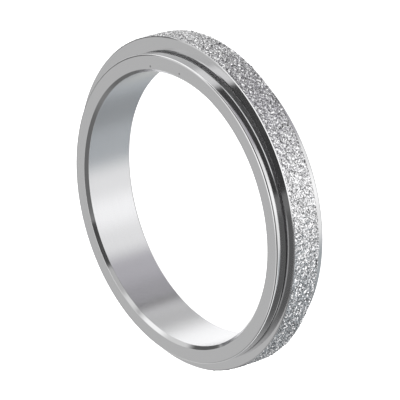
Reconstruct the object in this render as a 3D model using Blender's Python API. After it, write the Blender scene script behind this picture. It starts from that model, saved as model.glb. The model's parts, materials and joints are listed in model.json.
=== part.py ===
# Spinner ring: a one-piece flanged core band with a frosted band that turns freely in its groove.
# The ring lies on its side: the bore's axis is +Z, and the lower flange rests on z = 0.
# The loose band has settled a little askew in its groove, lowest near the +X side.
# Units are metres. The origin is on the bore's axis, in the plane that the ring lies on.

import math

import bmesh
import bpy
from mathutils import Matrix

MM = 0.001

# Core band
BAND_WIDTH = 4.0 * MM
BORE_DIAMETER = 19.0 * MM
BORE_CHAMFER = 0.24 * MM
FLANGE_RADIUS = 10.71 * MM
FLANGE_WIDTH = 0.77 * MM
FLANGE_ROUND = 0.13 * MM
FLANGE_BACK_CHAMFER = 0.04 * MM
GROOVE_RADIUS = 10.12 * MM

# Spinner band
SPINNER_WIDTH = 2.13 * MM
SPINNER_INNER_RADIUS = 10.42 * MM
SPINNER_OUTER_RADIUS = 11.53 * MM
SPINNER_OUTER_CHAMFER = 0.03 * MM
SPINNER_INNER_CHAMFER = 0.08 * MM
SPINNER_OFFSET = 0.17 * MM
SPINNER_TILT = math.radians(0.7)
SPINNER_LOW_SIDE = math.radians(15)

# Fineness of the turned surfaces
TURN_STEPS = 128
ROUND_STEPS = 3

# Finishes: base colour, metallic, roughness
POLISHED_STEEL = ((0.62, 0.62, 0.63, 1.0), 1.0, 0.08)
FROSTED_STEEL = ((0.70, 0.70, 0.71, 1.0), 1.0, 0.45)


def clear_scene():
    """Remove every object, so that the model starts from an empty scene."""
    for item in list(bpy.data.objects):
        bpy.data.objects.remove(item, do_unlink=True)


def steel(name, finish):
    """Return a metal material with one colour, metallic value and roughness."""
    colour, metallic, roughness = finish
    material = bpy.data.materials.new(name)
    material.use_nodes = True
    shader = material.node_tree.nodes["Principled BSDF"]
    shader.inputs["Base Color"].default_value = colour
    shader.inputs["Metallic"].default_value = metallic
    shader.inputs["Roughness"].default_value = roughness
    material.diffuse_color = colour
    return material


def edge_round(centre, radius, start_deg, end_deg):
    """Return the (r, z) points of an edge's rounding, from one tangent point to the other."""
    points = []
    for step in range(ROUND_STEPS + 1):
        angle = math.radians(start_deg + (end_deg - start_deg) * step / ROUND_STEPS)
        r = centre[0] + radius * math.cos(angle)
        z = centre[1] + radius * math.sin(angle)
        points.append((r, z))
    return points


def core_half_profile():
    """Return the core's (r, z) outline from the groove floor down to the bore, below mid-width."""
    bore = BORE_DIAMETER / 2
    round_centre = (FLANGE_RADIUS - FLANGE_ROUND, FLANGE_ROUND)
    groove = [
        (GROOVE_RADIUS, FLANGE_WIDTH),
        (FLANGE_RADIUS - FLANGE_BACK_CHAMFER, FLANGE_WIDTH),
        (FLANGE_RADIUS, FLANGE_WIDTH - FLANGE_BACK_CHAMFER),
    ]
    outer_edge = edge_round(round_centre, FLANGE_ROUND, 0, -90)
    bore_edge = [(bore + BORE_CHAMFER, 0), (bore, BORE_CHAMFER)]
    return groove + outer_edge + bore_edge


def spinner_half_profile():
    """Return the spinner's (r, z) outline below its own mid-width, from outside to inside."""
    low = -SPINNER_WIDTH / 2
    return [
        (SPINNER_OUTER_RADIUS, low + SPINNER_OUTER_CHAMFER),
        (SPINNER_OUTER_RADIUS - SPINNER_OUTER_CHAMFER, low),
        (SPINNER_INNER_RADIUS + SPINNER_INNER_CHAMFER, low),
        (SPINNER_INNER_RADIUS, low + SPINNER_INNER_CHAMFER),
    ]


def mirrored(half, middle):
    """Return a closed outline: the lower half, then the same points mirrored about z = middle."""
    upper = [(r, 2 * middle - z) for r, z in reversed(half)]
    return half + upper


def turned_solid(name, outline, material):
    """Turn a closed (r, z) outline once round the Z axis and return the object."""
    turned = bmesh.new()
    verts = [turned.verts.new((r, 0, z)) for r, z in outline]
    edges = []
    for index, vert in enumerate(verts):
        edges.append(turned.edges.new((vert, verts[(index + 1) % len(verts)])))
    bmesh.ops.spin(
        turned,
        geom=verts + edges,
        cent=(0, 0, 0),
        axis=(0, 0, 1),
        angle=2 * math.pi,
        steps=TURN_STEPS,
        use_merge=True,
        use_duplicate=False,
    )
    bmesh.ops.recalc_face_normals(turned, faces=turned.faces)
    mesh = bpy.data.meshes.new(name)
    turned.to_mesh(mesh)
    turned.free()
    mesh.shade_smooth()
    mesh.set_sharp_from_angle(angle=math.radians(25))
    mesh.materials.append(material)
    band = bpy.data.objects.new(name, mesh)
    bpy.context.scene.collection.objects.link(band)
    return band


def build_core_band():
    """Build the inner band with its bore, two flanges and the groove between them."""
    outline = mirrored(core_half_profile(), BAND_WIDTH / 2)
    return turned_solid("core_band", outline, steel("polished_steel", POLISHED_STEEL))


def build_spinner_band():
    """Build the loose outer band, whose origin is on its own axis at mid-width."""
    outline = mirrored(spinner_half_profile(), 0)
    band = turned_solid("spinner_band", outline, steel("frosted_steel", FROSTED_STEEL))
    east, north = math.cos(SPINNER_LOW_SIDE), math.sin(SPINNER_LOW_SIDE)
    band.location = (SPINNER_OFFSET * east, SPINNER_OFFSET * north, BAND_WIDTH / 2)
    band.rotation_euler = Matrix.Rotation(SPINNER_TILT, 3, (-north, east, 0)).to_euler()
    return band


clear_scene()
build_core_band()
build_spinner_band()
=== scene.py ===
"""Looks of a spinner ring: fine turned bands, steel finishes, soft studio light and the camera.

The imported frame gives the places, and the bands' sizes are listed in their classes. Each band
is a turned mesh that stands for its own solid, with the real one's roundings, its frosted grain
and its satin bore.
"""

import json
import logging
import math
from abc import ABC, abstractmethod
from dataclasses import dataclass, field
from enum import Enum
from typing import Sequence, Union

import bpy
import numpy as np
from mathutils import Euler, Matrix, Vector


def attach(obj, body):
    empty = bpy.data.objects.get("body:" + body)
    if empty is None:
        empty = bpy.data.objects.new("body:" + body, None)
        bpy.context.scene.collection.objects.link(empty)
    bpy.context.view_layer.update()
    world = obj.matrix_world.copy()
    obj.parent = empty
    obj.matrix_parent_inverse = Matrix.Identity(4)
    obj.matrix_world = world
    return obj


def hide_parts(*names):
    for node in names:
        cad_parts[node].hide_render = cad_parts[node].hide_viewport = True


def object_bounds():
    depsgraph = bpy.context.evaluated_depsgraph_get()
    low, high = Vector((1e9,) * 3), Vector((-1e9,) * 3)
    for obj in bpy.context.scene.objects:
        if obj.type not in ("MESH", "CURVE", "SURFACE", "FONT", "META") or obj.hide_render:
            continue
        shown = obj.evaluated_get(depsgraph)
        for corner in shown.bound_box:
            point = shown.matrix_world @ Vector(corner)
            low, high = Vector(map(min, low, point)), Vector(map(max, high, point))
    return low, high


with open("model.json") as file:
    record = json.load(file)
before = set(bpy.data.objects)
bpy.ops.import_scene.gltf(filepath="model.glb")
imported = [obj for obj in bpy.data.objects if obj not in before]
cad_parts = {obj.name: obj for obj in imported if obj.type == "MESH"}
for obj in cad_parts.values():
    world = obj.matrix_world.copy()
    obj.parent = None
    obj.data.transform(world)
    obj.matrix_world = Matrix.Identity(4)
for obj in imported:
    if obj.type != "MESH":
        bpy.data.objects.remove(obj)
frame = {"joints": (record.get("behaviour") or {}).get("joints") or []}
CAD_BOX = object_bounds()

MM = 0.001
TRUE_SCALE = (1.0, 1.0, 1.0)
DRAWN_ROUND = (0.05, 0.05, 1.0)
LOG = logging.getLogger("spinner_ring")


class Body(Enum):
    """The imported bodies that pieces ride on."""

    CORE = "core"
    SPINNER = "spinner"


class Zone(Enum):
    """The kinds of surface on a band."""

    POLISHED = "polished"
    SATIN = "satin"
    TURNED = "turned"
    FROSTED = "frosted"


class Shade:
    """A shader socket that takes part in Python expressions."""

    def __init__(self, bench: "Bench", socket: bpy.types.NodeSocket) -> None:
        """Wrap a socket.

        Args:
            bench: The node tree's bench, which adds the nodes.
            socket: The output socket that carries the value.
        """
        self.bench = bench
        self.socket = socket

    def math(self, operation: str, *others: "Number", clamp: bool = False) -> "Shade":
        """Apply a Math node to this value.

        Args:
            operation: The Math node's operation.
            others: The node's further values.
            clamp: Whether the result is held between 0 and 1.

        Returns:
            The node's result.
        """
        settings = {"operation": operation, "use_clamp": clamp}
        return self.bench.node("ShaderNodeMath", settings, (self, *others))

    def __add__(self, other: "Number") -> "Shade":
        """Add two values."""
        return self.math("ADD", other)

    __radd__ = __add__

    def __sub__(self, other: "Number") -> "Shade":
        """Subtract a value from this one."""
        return self.math("SUBTRACT", other)

    def __rsub__(self, other: "Number") -> "Shade":
        """Subtract this value from another."""
        return self.bench.node("ShaderNodeMath", {"operation": "SUBTRACT"}, (other, self))

    def __mul__(self, other: "Number") -> "Shade":
        """Multiply two values."""
        return self.math("MULTIPLY", other)

    __rmul__ = __mul__

    def scaled(self, colour: Sequence[float]) -> "Shade":
        """Multiply a colour by this value."""
        settings = {"operation": "SCALE"}
        values = {"Vector": tuple(colour), "Scale": self}
        return self.bench.node("ShaderNodeVectorMath", settings, values)

    def over(self, top: object, under: object) -> "Shade":
        """Lay one colour over another, with this value as the cover.

        Args:
            top: The colour where this value is 1.
            under: The colour where this value is 0.

        Returns:
            The mixed colour.
        """
        settings = {"data_type": "RGBA"}
        values = {0: self, 6: under, 7: top}
        return self.bench.node("ShaderNodeMix", settings, values, 2)

    def wrap_degrees(self) -> "Shade":
        """Bring an angle in degrees between -180 and 180."""
        return self.math("WRAP", 180.0, -180.0)

    def step(self, start: float, end: float) -> "Shade":
        """Rise smoothly from 0 to 1 between two values.

        Args:
            start: Where the result is 0.
            end: Where the result is 1.

        Returns:
            The smooth step.
        """
        settings = {"interpolation_type": "SMOOTHSTEP"}
        return self.bench.node("ShaderNodeMapRange", settings, (self, start, end, 0.0, 1.0))


Number = Union[float, Shade]


class Bench:
    """Adds nodes to one node tree."""

    def __init__(self, tree: bpy.types.NodeTree) -> None:
        """Take a node tree.

        Args:
            tree: The material's or the world's node tree.
        """
        self.tree = tree

    def node(
        self,
        kind: str,
        settings: dict[str, object] | None = None,
        values: Sequence[object] | dict[str, object] = (),
        output: int | str = 0,
    ) -> Shade:
        """Add a node, set it up and fill its sockets.

        Args:
            kind: The node's type.
            settings: The node's own settings, which are set before its sockets.
            values: Its inputs in order or by name, each a plain value or a Shade.
            output: The output socket to return.

        Returns:
            The chosen output.
        """
        made = self.tree.nodes.new(kind)
        for name, setting in (settings or {}).items():
            setattr(made, name, setting)
        pairs = values.items() if isinstance(values, dict) else enumerate(values)
        for key, value in pairs:
            self.feed(made.inputs[key], value)
        return Shade(self, made.outputs[output])

    def feed(self, socket: bpy.types.NodeSocket, value: object) -> None:
        """Link a Shade to a socket, or set the socket's own value."""
        if isinstance(value, Shade):
            self.tree.links.new(value.socket, socket)
        else:
            socket.default_value = value


@dataclass(frozen=True)
class Finish(ABC):
    """A surface finish, made as a material on the Principled shader."""

    name: str
    colour: tuple[float, float, float]
    roughness: float

    def material(self) -> bpy.types.Material:
        """Make the material.

        Returns:
            The new material.
        """
        made = bpy.data.materials.new(self.name)
        made.use_nodes = True
        bench = Bench(made.node_tree)
        shader = made.node_tree.nodes["Principled BSDF"]
        shader.inputs["Metallic"].default_value = 1.0
        shader.inputs["Base Color"].default_value = (*self.colour, 1.0)
        shader.inputs["Roughness"].default_value = self.roughness
        self.dress(bench, shader)
        return made

    @abstractmethod
    def dress(self, bench: Bench, shader: bpy.types.Node) -> None:
        """Feed the shader what varies over the surface."""

    @staticmethod
    def place(bench: Bench, scale: tuple[float, float, float]) -> Shade:
        """Give the surface's own coordinates in metres, scaled.

        Args:
            bench: The material's bench.
            scale: What each coordinate is multiplied by, TRUE_SCALE or DRAWN_ROUND.

        Returns:
            The scaled coordinates.
        """
        where = bench.node("ShaderNodeTexCoord", output="Object")
        settings = {"operation": "MULTIPLY"}
        return bench.node("ShaderNodeVectorMath", settings, (where, scale))

    @staticmethod
    def noise(bench: Bench, where: Shade, scale: float, detail: float) -> Shade:
        """Give a noise between 0 and 1.

        Args:
            bench: The material's bench.
            where: The coordinates.
            scale: Grains per unit.
            detail: How many finer octaves it has.

        Returns:
            The noise value.
        """
        values = {"Vector": where, "Scale": scale, "Detail": detail}
        return bench.node("ShaderNodeTexNoise", {}, values)

    @staticmethod
    def bump(bench: Bench, height: Shade, depth: float, strength: float = 1.0) -> Shade:
        """Turn a height into a normal.

        Args:
            bench: The material's bench.
            height: The height, 0 to 1.
            depth: The height in metres of a value of 1.
            strength: The bump's strength.

        Returns:
            The normal.
        """
        values = {"Strength": strength, "Distance": depth, "Height": height}
        return bench.node("ShaderNodeBump", {}, values)


@dataclass(frozen=True)
class PolishedSteel(Finish):
    """Mirror-polished steel with faint buffing waves, fine wear and a few small nicks."""

    wave_per_metre: float = 900.0
    wave_detail: float = 2.0
    wave_depth: float = 0.0006 * MM
    wear_per_metre: float = 9000.0
    wear_detail: float = 3.0
    roughness_spread: float = 0.05
    nick_per_metre: float = 900.0
    nick_size: float = 0.10
    nick_share: float = 0.45
    nick_pick_blur: float = 0.05
    nick_shade: float = 0.55

    def dress(self, bench: Bench, shader: bpy.types.Node) -> None:
        """Vary the roughness with wear, bend the normal with waves and darken small nicks."""
        where = self.place(bench, TRUE_SCALE)
        values = {"Vector": where, "Scale": self.nick_per_metre}
        near = bench.node("ShaderNodeTexVoronoi", {}, values, "Distance")
        chance = bench.node("ShaderNodeTexVoronoi", {}, values, "Color")
        pick = bench.node("ShaderNodeSeparateColor", {}, (chance,))
        inside = near.step(self.nick_size, self.nick_size / 2)
        bare = 1.0 - self.nick_share
        nick = inside * pick.step(bare, bare + self.nick_pick_blur)
        tone = 1.0 - self.nick_shade * nick
        bench.feed(shader.inputs["Base Color"], tone.scaled(self.colour))
        wear = self.noise(bench, where, self.wear_per_metre, self.wear_detail)
        rough = self.roughness + self.roughness_spread * wear
        bench.feed(shader.inputs["Roughness"], rough)
        waves = self.noise(bench, where, self.wave_per_metre, self.wave_detail)
        bench.feed(shader.inputs["Normal"], self.bump(bench, waves, self.wave_depth))


@dataclass(frozen=True)
class SatinSteel(Finish):
    """Satin steel inside the bore, brushed round the finger hole."""

    anisotropy: float = 0.8
    gloss_turn: float = 0.25
    line_per_metre: float = 14000.0
    line_detail: float = 2.0
    line_depth: float = 0.001 * MM
    roughness_spread: float = 0.08

    def dress(self, bench: Bench, shader: bpy.types.Node) -> None:
        """Stretch the gloss along the bore and add the brushed lines round it."""
        shader.inputs["Anisotropic"].default_value = self.anisotropy
        shader.inputs["Anisotropic Rotation"].default_value = self.gloss_turn
        where = self.place(bench, DRAWN_ROUND)
        lines = self.noise(bench, where, self.line_per_metre, self.line_detail)
        bench.feed(shader.inputs["Normal"], self.bump(bench, lines, self.line_depth))
        rough = self.roughness + self.roughness_spread * lines
        bench.feed(shader.inputs["Roughness"], rough)


@dataclass(frozen=True)
class TurnedSteelWithGapGlow(Finish):
    """Steel as the lathe leaves it, in the groove and on the faces that nobody sees, with a
    faint painted glow for the light bounced about in the narrow gap.
    """

    line_per_metre: float = 30000.0
    line_detail: float = 2.0
    line_depth: float = 0.002 * MM
    roughness_spread: float = 0.1
    # Painted light: emission strength of a glow that stands in for the light bounced about in
    # the narrow gap.
    painted_gap_glow: float = 0.018

    def dress(self, bench: Bench, shader: bpy.types.Node) -> None:
        """Add the tool's fine lines and a faint painted glow for the light that comes back out
        of the narrow gap.
        """
        # Painted light: the steel glows faintly, for the light bounced about in the narrow gap.
        shader.inputs["Emission Color"].default_value = (1.0, 1.0, 1.0, 1.0)
        shader.inputs["Emission Strength"].default_value = self.painted_gap_glow
        where = self.place(bench, DRAWN_ROUND)
        lines = self.noise(bench, where, self.line_per_metre, self.line_detail)
        bench.feed(shader.inputs["Normal"], self.bump(bench, lines, self.line_depth))
        rough = self.roughness + self.roughness_spread * lines
        bench.feed(shader.inputs["Roughness"], rough)


@dataclass(frozen=True)
class FrostedSteel(Finish):
    """Coarse frosted steel, whose grains each catch the light on their own."""

    grain_per_metre: float = 22000.0
    grain_detail: float = 2.0
    grain_depth: float = 0.012 * MM
    grain_strength: float = 0.5
    roughness_spread: float = 0.2
    cell_per_metre: float = 15500.0
    darkest_cell: float = 0.12
    brightest_cell: float = 1.86

    def dress(self, bench: Bench, shader: bpy.types.Node) -> None:
        """Vary the tone from grain to grain and roughen the facets."""
        where = self.place(bench, TRUE_SCALE)
        values = {"Vector": where, "Scale": self.cell_per_metre}
        cell = bench.node("ShaderNodeTexVoronoi", {}, values, "Color")
        tone = bench.node("ShaderNodeSeparateColor", {}, (cell,))
        share = self.darkest_cell + (self.brightest_cell - self.darkest_cell) * tone
        bench.feed(shader.inputs["Base Color"], share.scaled(self.colour))
        grain = self.noise(bench, where, self.grain_per_metre, self.grain_detail)
        rough = self.roughness + self.roughness_spread * grain
        bench.feed(shader.inputs["Roughness"], rough)
        normal = self.bump(bench, grain, self.grain_depth, self.grain_strength)
        bench.feed(shader.inputs["Normal"], normal)


@dataclass(frozen=True)
class Corner:
    """A corner of a band's outline: radius and height in metres, and the rounding's radius.

    zone is the surface that runs from this corner to the next, steps is how many pieces the
    rounding has, and rows is how many pieces the side after it has.
    """

    r: float
    z: float
    fillet: float
    zone: Zone = Zone.POLISHED
    steps: int = 5
    rows: int = 1


@dataclass
class Outline:
    """A closed outline in the (r, z) half-plane, with a normal and a zone for each point.

    row_stop is the share of the next rounding's radius that a side's rows leave free.
    """

    row_stop: float = 0.42
    points: list[tuple[float, float]] = field(default_factory=list)
    normals: list[tuple[float, float]] = field(default_factory=list)
    zones: list[Zone] = field(default_factory=list)

    @classmethod
    def from_corners(cls, corners: Sequence[Corner]) -> "Outline":
        """Round each corner with an arc that touches both of its sides.

        Args:
            corners: The corners, with the solid on the left of the way round.

        Returns:
            The outline.
        """
        made = cls()
        count = len(corners)
        for index, corner in enumerate(corners):
            before = corners[index - 1]
            after = corners[(index + 1) % count]
            made.add_arc(before, corner, after)
            made.add_rows(corner, after)
        return made

    @staticmethod
    def heading(start: Corner, end: Corner) -> np.ndarray:
        """Give the unit direction from one corner to the next."""
        way = np.array([end.r - start.r, end.z - start.z])
        return way / np.linalg.norm(way)

    def add_arc(self, before: Corner, corner: Corner, after: Corner) -> None:
        """Add a corner's rounding, whose last point starts the next side.

        Args:
            before: The corner before.
            corner: The corner that is rounded.
            after: The corner after.
        """
        way_in = self.heading(before, corner)
        way_out = self.heading(corner, after)
        across = way_in[0] * way_out[1] - way_in[1] * way_out[0]
        turn = math.atan2(across, float(way_in @ way_out))
        side = math.copysign(1.0, turn)
        reach = corner.fillet * abs(math.tan(turn / 2))
        start = np.array([corner.r, corner.z]) - way_in * reach
        normal_in = np.array([way_in[1], -way_in[0]])
        centre = start - normal_in * side * corner.fillet
        first = math.atan2(normal_in[1], normal_in[0])
        for step in range(corner.steps + 1):
            angle = first + turn * step / corner.steps
            normal = np.array([math.cos(angle), math.sin(angle)])
            point = centre + normal * side * corner.fillet
            self.points.append((point[0], point[1]))
            self.normals.append((normal[0], normal[1]))
            self.zones.append(Zone.POLISHED)
        self.zones[-1] = corner.zone

    def add_rows(self, corner: Corner, after: Corner) -> None:
        """Cut the side after a corner into rows, for a surface that has relief.

        Args:
            corner: The corner that the side starts from, which says how many rows.
            after: The corner that the side ends at.
        """
        if corner.rows < 2:
            return
        start = np.array(self.points[-1])
        way = self.heading(corner, after)
        end = np.array([after.r, after.z]) - way * after.fillet * self.row_stop
        for row in range(1, corner.rows):
            point = start + (end - start) * row / corner.rows
            self.points.append((point[0], point[1]))
            self.normals.append(self.normals[-1])
            self.zones.append(corner.zone)


@dataclass
class TurnedBand(ABC):
    """A band turned about Z, made as one closed mesh.

    steps is how many pieces the full turn has, and seat is where the band's own axis lies.
    """

    name: str
    body: Body
    node: str
    slot: str
    steps: int
    seat: Matrix = field(default_factory=lambda: Matrix.Identity(4))

    @abstractmethod
    def corners(self) -> list[Corner]:
        """List the outline's corners, with the solid on the left."""

    @abstractmethod
    def finishes(self) -> dict[Zone, Finish]:
        """Give each zone of the band its finish."""

    def relief(self, places: np.ndarray, normals: np.ndarray, zones: list[Zone]) -> np.ndarray:
        """Move the vertices of rough zones. A plain band has none.

        Args:
            places: Vertex places, by turning step, outline point and coordinate.
            normals: Vertex normals in the same order. Not used by a plain band.
            zones: The zone that starts at each outline point. Not used by a plain band.

        Returns:
            The moved places.
        """
        return places

    def build(self) -> bpy.types.Object:
        """Turn the outline, dress it, and let it stand for its solid.

        Returns:
            The band's object.
        """
        outline = Outline.from_corners(self.corners())
        angles = np.arange(self.steps) * 2 * np.pi / self.steps
        around = np.stack([np.cos(angles), np.sin(angles)], axis=1)
        places = self.turn(around, np.array(outline.points))
        normals = self.turn(around, np.array(outline.normals))
        places = self.relief(places, normals, outline.zones)
        seat = np.array(self.seat)
        mesh = self.mesh(places @ seat[:3, :3].T + seat[:3, 3], outline.zones)
        self.shade(mesh, normals @ seat[:3, :3].T, outline.zones)
        band = bpy.data.objects.new(self.name, mesh)
        bpy.context.scene.collection.objects.link(band)
        for finish in self.finishes().values():
            mesh.materials.append(finish.material())
        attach(band, self.body.value)
        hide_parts(self.node)
        LOG.info("%s: %d faces", self.name, len(mesh.polygons))
        return band

    @staticmethod
    def turn(around: np.ndarray, pairs: np.ndarray) -> np.ndarray:
        """Turn (r, z) pairs to every angle.

        Args:
            around: Cosine and sine of each angle.
            pairs: The (r, z) pairs.

        Returns:
            An array by angle, pair and coordinate.
        """
        flat = around[:, None, :] * pairs[None, :, :1]
        height = np.broadcast_to(pairs[None, :, 1:], (len(around), len(pairs), 1))
        return np.concatenate([flat, height], axis=2)

    def mesh(self, places: np.ndarray, zones: list[Zone]) -> bpy.types.Mesh:
        """Join the turned points with faces that look outward.

        Args:
            places: Vertex places, by turning step, outline point and coordinate.
            zones: The zone that starts at each outline point.

        Returns:
            The mesh, with each face's material set.
        """
        steps, count = places.shape[:2]
        here = np.arange(steps)[:, None]
        point = np.arange(count)[None, :]
        ahead = (here + 1) % steps
        following = (point + 1) % count
        quads = [here * count + point, ahead * count + point]
        quads += [ahead * count + following, here * count + following]
        faces = np.stack(np.broadcast_arrays(*quads), axis=2).reshape(-1, 4)
        mesh = bpy.data.meshes.new(self.name)
        mesh.from_pydata(places.reshape(-1, 3).tolist(), [], faces.tolist())
        order = list(self.finishes())
        index = np.tile([order.index(zone) for zone in zones], steps)
        mesh.polygons.foreach_set("material_index", index)
        return mesh

    @staticmethod
    def shade(mesh: bpy.types.Mesh, normals: np.ndarray, zones: list[Zone]) -> None:
        """Shade turned surfaces smooth by their true normals and leave the grain faceted.

        Args:
            mesh: The band's mesh.
            normals: The true normals, by turning step and outline point.
            zones: The zone that starts at each outline point.
        """
        smooth = np.tile([zone is not Zone.FROSTED for zone in zones], normals.shape[0])
        mesh.polygons.foreach_set("use_smooth", smooth)
        rough = [zone is Zone.FROSTED for zone in zones]
        given = normals.copy()
        given[:, rough, :] = 0.0
        mesh.normals_split_custom_set_from_vertices(given.reshape(-1, 3).tolist())
        mesh.update()


@dataclass
class CoreBand(TurnedBand):
    """The inner band: bore, two polished faces, two flanges and the groove between them."""

    bore_radius: float = 9.50 * MM
    bore_chamfer: float = 0.22 * MM
    width: float = 4.0 * MM
    flange_radius: float = 10.71 * MM
    flange_width: float = 0.77 * MM
    flange_round: float = 0.13 * MM
    taper_depth: float = 0.027 * MM
    taper_height: float = 0.100 * MM
    groove_radius: float = 10.12 * MM
    fine_round: float = 0.03 * MM
    flange_pieces: int = 9

    def corners(self) -> list[Corner]:
        """List the outline's corners, lower half first and then its mirror image."""
        bore, chamfer, fine = self.bore_radius, self.bore_chamfer, self.fine_round
        flange, back, groove = self.flange_radius, self.flange_width, self.groove_radius
        width, high = self.width, self.width - self.flange_width
        slim, rise = flange - self.taper_depth, self.taper_height
        soft, pieces = self.flange_round, self.flange_pieces
        return [
            Corner(bore, chamfer, fine),
            Corner(bore + chamfer, 0.0, fine),
            Corner(flange, 0.0, soft, steps=pieces),
            Corner(flange, back - rise, fine),
            Corner(slim, back, fine / 3, Zone.TURNED),
            Corner(groove, back, fine, Zone.TURNED),
            Corner(groove, high, fine, Zone.TURNED),
            Corner(slim, high, fine / 3),
            Corner(flange, high + rise, fine),
            Corner(flange, width, soft, steps=pieces),
            Corner(bore + chamfer, width, fine),
            Corner(bore, width - chamfer, fine, Zone.SATIN),
        ]

    def finishes(self) -> dict[Zone, Finish]:
        """Polish the outside, turn the groove and give it a faint painted glow, and brush the
        bore.
        """
        return {
            Zone.POLISHED: PolishedSteel("polished_steel", (0.66, 0.66, 0.665), 0.06),
            Zone.SATIN: SatinSteel("satin_bore_steel", (0.66, 0.66, 0.67), 0.18),
            # Painted light: the turned steel's tone is lifted to 0.92 and it glows faintly, for
            # the light bounced about in the narrow gap.
            Zone.TURNED: TurnedSteelWithGapGlow("turned_groove_steel_and_glow", (0.92, 0.92, 0.93), 0.60),
        }


@dataclass
class SpinnerBand(TurnedBand):
    """The loose outer band: polished sides and edges, and a frosted outside."""

    inner_radius: float = 10.42 * MM
    outer_radius: float = 11.57 * MM
    width: float = 2.13 * MM
    edge_chamfer: float = 0.06 * MM
    edge_height: float = 0.038 * MM
    fine_round: float = 0.008 * MM
    inner_round: float = 0.08 * MM
    fine_pieces: int = 2
    inner_pieces: int = 4
    grain_rows: int = 28
    grain_depth: float = 0.036 * MM
    grain_jitter: float = 0.35
    seed: int = 7

    def corners(self) -> list[Corner]:
        """List the outline's corners about the band's own middle."""
        half = self.width / 2
        low, high = -half, half
        inner, outer = self.inner_radius, self.outer_radius
        chamfer, rise, fine = self.edge_chamfer, self.edge_height, self.fine_round
        pieces, soft, soft_pieces = self.fine_pieces, self.inner_round, self.inner_pieces
        return [
            Corner(inner, low, soft, steps=soft_pieces),
            Corner(outer - chamfer, low, fine, steps=pieces),
            Corner(outer, low + rise, fine, Zone.FROSTED, pieces, self.grain_rows),
            Corner(outer, high - rise, fine, steps=pieces),
            Corner(outer - chamfer, high, fine, steps=pieces),
            Corner(inner, high, soft, Zone.TURNED, soft_pieces),
        ]

    def finishes(self) -> dict[Zone, Finish]:
        """Polish the sides and edges, frost the outside, and turn the inside and give it a faint
        painted glow.
        """
        return {
            Zone.POLISHED: PolishedSteel("polished_spinner_steel", (0.66, 0.66, 0.665), 0.07),
            # Painted light: the turned steel's tone is lifted to 0.92 and it glows faintly, for
            # the light bounced about in the narrow gap.
            Zone.TURNED: TurnedSteelWithGapGlow("turned_spinner_steel_and_glow", (0.92, 0.92, 0.93), 0.60),
            Zone.FROSTED: FrostedSteel("frosted_steel", (0.63, 0.63, 0.64), 0.10),
        }

    def relief(self, places: np.ndarray, normals: np.ndarray, zones: list[Zone]) -> np.ndarray:
        """Knock the frosted zone's vertices in and aside, each by its own seeded amount.

        Args:
            places: Vertex places, by turning step, outline point and coordinate.
            normals: Vertex normals in the same order.
            zones: The zone that starts at each outline point.

        Returns:
            The moved places.
        """
        draw = np.random.default_rng(self.seed)
        rough = np.array([zone is Zone.FROSTED for zone in zones])
        moved = places.copy()
        shape = (places.shape[0], int(rough.sum()))
        depth = draw.normal(-self.grain_depth / 2, self.grain_depth, shape)
        pitch = 2 * math.pi * self.outer_radius / self.steps
        aside = draw.uniform(-1.0, 1.0, shape) * pitch * self.grain_jitter
        along = draw.uniform(-1.0, 1.0, shape) * pitch * self.grain_jitter
        normal = normals[:, rough, :]
        tangent = np.stack([-normal[:, :, 1], normal[:, :, 0], np.zeros(shape)], axis=2)
        moved[:, rough, :] += normal * depth[:, :, None] + tangent * aside[:, :, None]
        moved[:, rough, 2] += along
        return moved


class SkyTint(Enum):
    """The faint casts of the studio's walls."""

    PLAIN = (1.0, 1.0, 1.0)
    GREEN = (0.98, 1.0, 0.98)
    BLUE = (0.94, 1.0, 1.04)
    VIOLET = (1.0, 0.98, 1.04)


@dataclass(frozen=True)
class SkyPatch:
    """A soft-edged patch of the studio's surroundings, painted over what lies under it.

    Angles are in degrees. Azimuth 0 is towards -Y and 90 towards +X.
    """

    radiance: float
    azimuth: float = 0.0
    half_width: float = 400.0
    side_blur: float = 10.0
    elevation: float = 0.0
    half_height: float = 400.0
    edge_blur: float = 5.0
    tint: SkyTint = SkyTint.PLAIN

    def colour(self) -> tuple[float, float, float, float]:
        """Give the patch's radiance as a colour."""
        red, green, blue = (self.radiance * part for part in self.tint.value)
        return (red, green, blue, 1.0)

    def goes_all_round(self) -> bool:
        """Tell whether the patch is a full band or cap, with no sides."""
        return self.half_width >= 180.0


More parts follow.
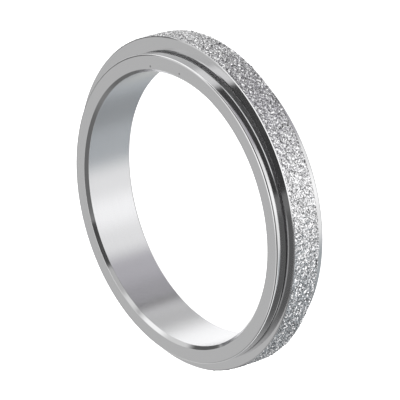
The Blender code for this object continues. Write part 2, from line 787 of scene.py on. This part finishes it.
@dataclass
class Studio:
    """The soft light round the ring, the pale floor and what the camera sees behind it.

    cards are the lights and dark cards above the horizon, and ground is the lit table below
    it. Each patch lies over the ones listed before it.
    """

    tent: float = 0.64
    floor_radius: float = 1.5
    floor_sides: int = 96
    floor_tone: float = 0.9
    floor_roughness: float = 0.9
    floor_light: float = 0.9
    cards: tuple[SkyPatch, ...] = (
        SkyPatch(1.30, -155.0, 38.0, 8.0, 60.0, 12.0, 4.0),
        SkyPatch(0.90, 125.0, 27.0, 6.0, 40.0, 45.0, 6.0),
        SkyPatch(1.35, 94.0, 11.0, 5.0, 36.0, 30.0, 6.0),
        SkyPatch(1.00, 76.0, 14.0, 5.0, 47.5, 8.5, 2.0),
        SkyPatch(0.20, -65.0, 60.0, 28.0, 37.0, 38.0, 4.0),
        SkyPatch(0.20, -118.0, 36.0, 8.0, 6.0, 14.0, 8.0),
        SkyPatch(0.60, -66.0, 42.0, 8.0, 6.0, 12.0, 6.0),
        SkyPatch(0.085, 35.0, 46.0, 3.0, 20.0, 21.0, 3.0),
        SkyPatch(0.085, 11.0, 23.0, 3.0, 48.0, 12.0, 4.0),
        SkyPatch(0.32, -17.0, 7.0, 3.0, 21.0, 21.0, 3.0),
        SkyPatch(0.14, 149.0, 23.0, 4.0, 14.0, 17.0, 3.0),
        SkyPatch(1.60, elevation=90.0, half_height=17.0, edge_blur=3.0),
        SkyPatch(1.60, 66.0, 58.0, 6.0, 68.0, 9.0, 3.0),
    )
    ground: tuple[SkyPatch, ...] = (
        SkyPatch(1.16, elevation=-90.0, half_height=89.0, edge_blur=2.0),
        SkyPatch(0.62, elevation=-90.0, half_height=36.0, edge_blur=5.0),
        SkyPatch(1.42, -14.0, 12.0, 9.0, -28.0, 25.0, 2.0),
        SkyPatch(0.62, -160.0, 22.0, 8.0, -40.0, 22.0, 3.0, SkyTint.GREEN),
        SkyPatch(0.55, -100.0, 47.0, 11.0, -40.0, 22.0, 3.0, SkyTint.BLUE),
        SkyPatch(0.38, -108.0, 18.0, 12.0, -40.0, 22.0, 3.0, SkyTint.BLUE),
        SkyPatch(0.60, 50.0, 27.0, 9.0, -40.0, 22.0, 3.0, SkyTint.VIOLET),
        SkyPatch(0.42, 64.0, 14.0, 10.0, -40.0, 22.0, 3.0, SkyTint.VIOLET),
        SkyPatch(0.15, 72.5, 3.0, 1.5, -42.0, 24.0, 3.0),
        SkyPatch(0.62, 94.0, 14.0, 12.0, -40.0, 22.0, 3.0),
        SkyPatch(1.38, 140.0, 20.0, 10.0, -40.0, 22.0, 3.0),
        SkyPatch(1.80, -86.0, 36.0, 12.0, -10.0, 9.0, 2.0),
        SkyPatch(1.85, 88.0, 38.0, 12.0, -10.0, 9.0, 2.0),
        SkyPatch(0.66, 154.0, 22.0, 6.0, -10.0, 9.0, 3.0),
    )

    def build(self) -> None:
        """Make the surroundings and the floor."""
        self.build_sky()
        self.build_floor()

    def build_sky(self) -> None:
        """Paint the surroundings by direction: a plain tent with soft patches."""
        world = bpy.data.worlds.new("studio")
        world.use_nodes = True
        bpy.context.scene.world = world
        bench = Bench(world.node_tree)
        background = world.node_tree.nodes["Background"]
        way = bench.node("ShaderNodeTexCoord", output="Generated")
        split = bench.node("ShaderNodeSeparateXYZ", {}, (way,))
        east, north, up = (Shade(bench, socket) for socket in split.socket.node.outputs)
        azimuth = east.math("ARCTAN2", north * -1.0) * math.degrees(1.0)
        elevation = up.math("ARCSINE") * math.degrees(1.0)
        light: object = (self.tent, self.tent, self.tent, 1.0)
        for patch in self.cards + self.ground:
            light = self.mask(azimuth, elevation, patch).over(patch.colour(), light)
        white = (1.0, 1.0, 1.0, 1.0)
        camera = bench.node("ShaderNodeLightPath", output="Is Camera Ray")
        diffuse = bench.node("ShaderNodeLightPath", output="Is Diffuse Ray")
        bench.feed(background.inputs["Color"], (camera + diffuse).over(white, light))

    @staticmethod
    def mask(azimuth: Shade, elevation: Shade, patch: SkyPatch) -> Shade:
        """Give a patch's cover, 1 inside it and 0 outside.

        Args:
            azimuth: The direction's azimuth in degrees.
            elevation: The direction's elevation in degrees.
            patch: The patch.

        Returns:
            The cover.
        """
        half, blur = patch.half_height, patch.edge_blur
        cover = (elevation - patch.elevation).math("ABSOLUTE").step(half + blur, half - blur)
        if patch.goes_all_round():
            return cover
        half, blur = patch.half_width, patch.side_blur
        aside = (azimuth - patch.azimuth).wrap_degrees().math("ABSOLUTE")
        return cover * aside.step(half + blur, half - blur)

    def build_floor(self) -> bpy.types.Object:
        """Lay the pale floor that the ring rests on.

        Returns:
            The floor.
        """
        sides, radius = self.floor_sides, self.floor_radius
        bpy.ops.mesh.primitive_circle_add(vertices=sides, radius=radius, fill_type="NGON")
        floor = bpy.context.object
        floor.name = "pale_floor"
        made = bpy.data.materials.new("pale_floor")
        made.use_nodes = True
        shader = made.node_tree.nodes["Principled BSDF"]
        tone = self.floor_tone
        shader.inputs["Base Color"].default_value = (tone, tone, tone, 1.0)
        shader.inputs["Roughness"].default_value = self.floor_roughness
        shader.inputs["Specular IOR Level"].default_value = 0.0
        shader.inputs["Emission Color"].default_value = (1.0, 1.0, 1.0, 1.0)
        shader.inputs["Emission Strength"].default_value = self.floor_light
        floor.data.materials.append(made)
        floor.visible_glossy = False
        return floor


@dataclass
class PhotoCamera:
    """A long lens at the photograph's angle to the ring.

    elevation and roll are in degrees. aside and below are how far the middle of the ring's
    upper face lies from the view's centre, in metres.
    """

    elevation: float = 36.347
    roll: float = 107.054
    distance: float = 211.112 * MM
    aside: float = -1.835 * MM
    below: float = 0.7016 * MM
    lens: float = 282.689
    sensor: float = 36.0
    nearest: float = 0.01
    farthest: float = 20.0

    def build(self, target: Vector) -> bpy.types.Object:
        """Place the camera.

        Args:
            target: The middle of the ring's upper face.

        Returns:
            The camera.
        """
        data = bpy.data.cameras.new("camera")
        data.lens = self.lens
        data.sensor_width = self.sensor
        data.clip_start = self.nearest
        data.clip_end = self.farthest
        camera = bpy.data.objects.new("camera", data)
        bpy.context.scene.collection.objects.link(camera)
        level = Euler((math.radians(90.0 - self.elevation), 0.0, 0.0)).to_matrix()
        turn = level @ Matrix.Rotation(math.radians(-self.roll), 3, "Z")
        offset = turn @ Vector((self.aside, -self.below, -self.distance))
        camera.matrix_world = Matrix.Translation(target - offset) @ turn.to_4x4()
        bpy.context.scene.camera = camera
        return camera


def joint_seat(name: str) -> Matrix:
    """Find where a joint's axis lies, so that a band can be turned about it.

    Args:
        name: The joint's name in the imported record.

    Returns:
        The transform from the Z axis to the joint's axis.
    """
    joint = next(each for each in frame["joints"] if each["name"] == name)
    lean = Vector((0.0, 0.0, 1.0)).rotation_difference(Vector(joint["axis"]))
    return Matrix.Translation(Vector(joint["pos_m"])) @ lean.to_matrix().to_4x4()


def set_colours() -> None:
    """Show the light as it is, with no film curve."""
    settings = bpy.context.scene.view_settings
    settings.view_transform = "Standard"
    settings.look = "None"


def main() -> None:
    """Build the bands, the studio and the camera, in that order."""
    logging.basicConfig(level=logging.INFO, format="%(message)s")
    seat = joint_seat("spinner_spin")
    CoreBand(
        name="core_band_fine",
        body=Body.CORE,
        node="core_band",
        slot="polished_steel",
        steps=720,
    ).build()
    SpinnerBand(
        name="spinner_band_fine",
        body=Body.SPINNER,
        node="spinner_band",
        slot="frosted_steel",
        steps=1040,
        seat=seat,
    ).build()
    Studio().build()
    PhotoCamera().build(Vector((0.0, 0.0, CAD_BOX[1].z)))
    set_colours()


if __name__ == "__main__":
    main()
